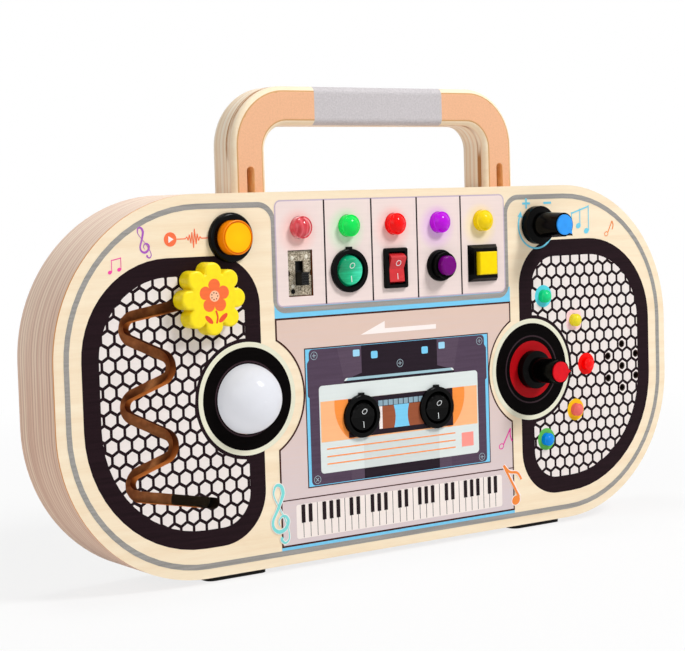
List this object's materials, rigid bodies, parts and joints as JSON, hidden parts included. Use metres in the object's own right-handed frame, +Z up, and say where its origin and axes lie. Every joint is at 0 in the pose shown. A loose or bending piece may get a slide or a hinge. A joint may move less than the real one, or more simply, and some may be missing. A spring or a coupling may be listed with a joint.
{
  "type": "busy board",
  "caption": "Handled plywood busy board shaped like a portable stereo, with rockers, push buttons, a slide switch, lamps, turning knobs and a block that slides in a wavy track.",
  "frame": {"origin": "on the floor under the middle of the whole board's bounding box", "axes": "+X to the right seen from the front, the front faces -Y, +Z up"},
  "size_m": [0.281, 0.0454, 0.174],
  "materials": {
    "plywood": "satin lacquer on birch plywood",
    "handle_wood": "peach print and grey band on plywood",
    "black_rubber": "matt",
    "black_plastic": "fine satin",
    "yellow_wood": "yellow paint on wood",
    "amber_plastic": "gloss",
    "green_plastic": "gloss",
    "red_plastic": "gloss",
    "purple_plastic": "gloss",
    "yellow_plastic": "gloss",
    "blue_plastic": "gloss",
    "steel": "bright",
    "brass": "plated",
    "dome_white": "translucent white",
    "clear_lens": "clear resin",
    "board_green": "solder mask",
    "cell_jacket": "plain jacket"
  },
  "bodies": {
    "housing": {"front_panel": "plywood", "rim": "plywood", "back_panel": "plywood", "back_screws": "steel", "handle": "handle_wood", "foot_left": "black_rubber", "foot_right": "black_rubber", "track_backing": "plywood", "top_lamp_clear": "clear_lens", "top_lamp_green": "green_plastic", "top_lamp_red": "red_plastic", "top_lamp_purple": "purple_plastic", "top_lamp_yellow": "yellow_plastic", "dial_lamp_blue": "blue_plastic", "dial_lamp_pink": "red_plastic", "dial_lamp_red": "red_plastic", "dial_lamp_yellow": "yellow_plastic", "dial_lamp_green": "green_plastic", "dome_diffuser": "dome_white", "dome_lamp_board": "board_green", "speaker": "black_plastic", "play_button_body": "black_plastic", "play_button_nut": "black_plastic", "slide_switch_frame": "steel", "slide_switch_base": "black_plastic", "green_rocker_housing": "black_plastic", "red_rocker_housing": "black_plastic", "left_hub_rocker_housing": "black_plastic", "right_hub_rocker_housing": "black_plastic", "purple_button_body": "black_plastic", "purple_button_nut": "steel", "yellow_button_housing": "black_plastic", "selector_body": "black_plastic", "selector_nut": "brass", "volume_body": "black_plastic", "volume_nut": "brass", "battery_holder": "black_plastic", "batteries": "cell_jacket", "battery_door": "plywood", "battery_door_screw": "steel", "sound_board": "board_green"},
    "play_cap": {"play_button_cap": "amber_plastic"},
    "slider": {"slider_stem": "black_plastic"},
    "slider_block": {"sliding_block": "yellow_wood"},
    "slide_knob": {"slide_switch_knob": "black_plastic"},
    "green_rocker_key": {"green_rocker": "green_plastic"},
    "red_rocker_key": {"red_rocker": "red_plastic"},
    "left_hub_key": {"left_hub_rocker": "black_plastic"},
    "right_hub_key": {"right_hub_rocker": "black_plastic"},
    "purple_cap": {"purple_button_cap": "purple_plastic"},
    "yellow_cap": {"yellow_button_cap": "yellow_plastic"},
    "selector": {"selector_shaft": "steel", "selector_knob": "black_plastic", "selector_knob_cap": "red_plastic"},
    "volume": {"volume_shaft": "steel", "volume_knob": "black_plastic", "volume_knob_cap": "blue_plastic"}
  },
  "joints": [
    {"name": "play_press", "type": "slide", "parent": "housing", "child": "play_cap", "axis": [0, 1, 0], "range_m": [0, 0.0024], "stiffness_N_per_m": 300},
    {"name": "slider_run", "type": "slide", "parent": "housing", "child": "slider", "axis": [-0.9878, 0, -0.1559], "range_m": [0, 0.028]},
    {"name": "block_spin", "type": "hinge", "parent": "slider", "child": "slider_block", "pos_m": [-0.0825, -0.00525, 0.09983], "axis": [0, -1, 0], "continuous": true},
    {"name": "slide_switch", "type": "slide", "parent": "housing", "child": "slide_knob", "axis": [0, 0, 1], "range_m": [0, 0.0038]},
    {"name": "green_rock", "type": "hinge", "parent": "housing", "child": "green_rocker_key", "pos_m": [-0.0211, -0.00405, 0.1067], "axis": [1, 0, 0], "range_deg": [-18, 0]},
    {"name": "red_rock", "type": "hinge", "parent": "housing", "child": "red_rocker_key", "pos_m": [0, -0.00405, 0.1067], "axis": [1, 0, 0], "range_deg": [-18, 0]},
    {"name": "left_hub_rock", "type": "hinge", "parent": "housing", "child": "left_hub_key", "pos_m": [-0.01751, -0.00405, 0.0528], "axis": [1, 0, 0], "range_deg": [-18, 0]},
    {"name": "right_hub_rock", "type": "hinge", "parent": "housing", "child": "right_hub_key", "pos_m": [0.01751, -0.00405, 0.0528], "axis": [1, 0, 0], "range_deg": [-18, 0]},
    {"name": "purple_press", "type": "slide", "parent": "housing", "child": "purple_cap", "axis": [0, 1, 0], "range_m": [0, 0.0022], "stiffness_N_per_m": 300},
    {"name": "yellow_press", "type": "slide", "parent": "housing", "child": "yellow_cap", "axis": [0, 1, 0], "range_m": [0, 0.0018], "stiffness_N_per_m": 300},
    {"name": "selector_turn", "type": "hinge", "parent": "housing", "child": "selector", "pos_m": [0.0662, -0.00525, 0.0635], "axis": [0, -1, 0], "range_deg": [-76, 76]},
    {"name": "volume_turn", "type": "hinge", "parent": "housing", "child": "volume", "pos_m": [0.0699, -0.00525, 0.1205], "axis": [0, -1, 0], "range_deg": [-15, 285]}
  ]
}
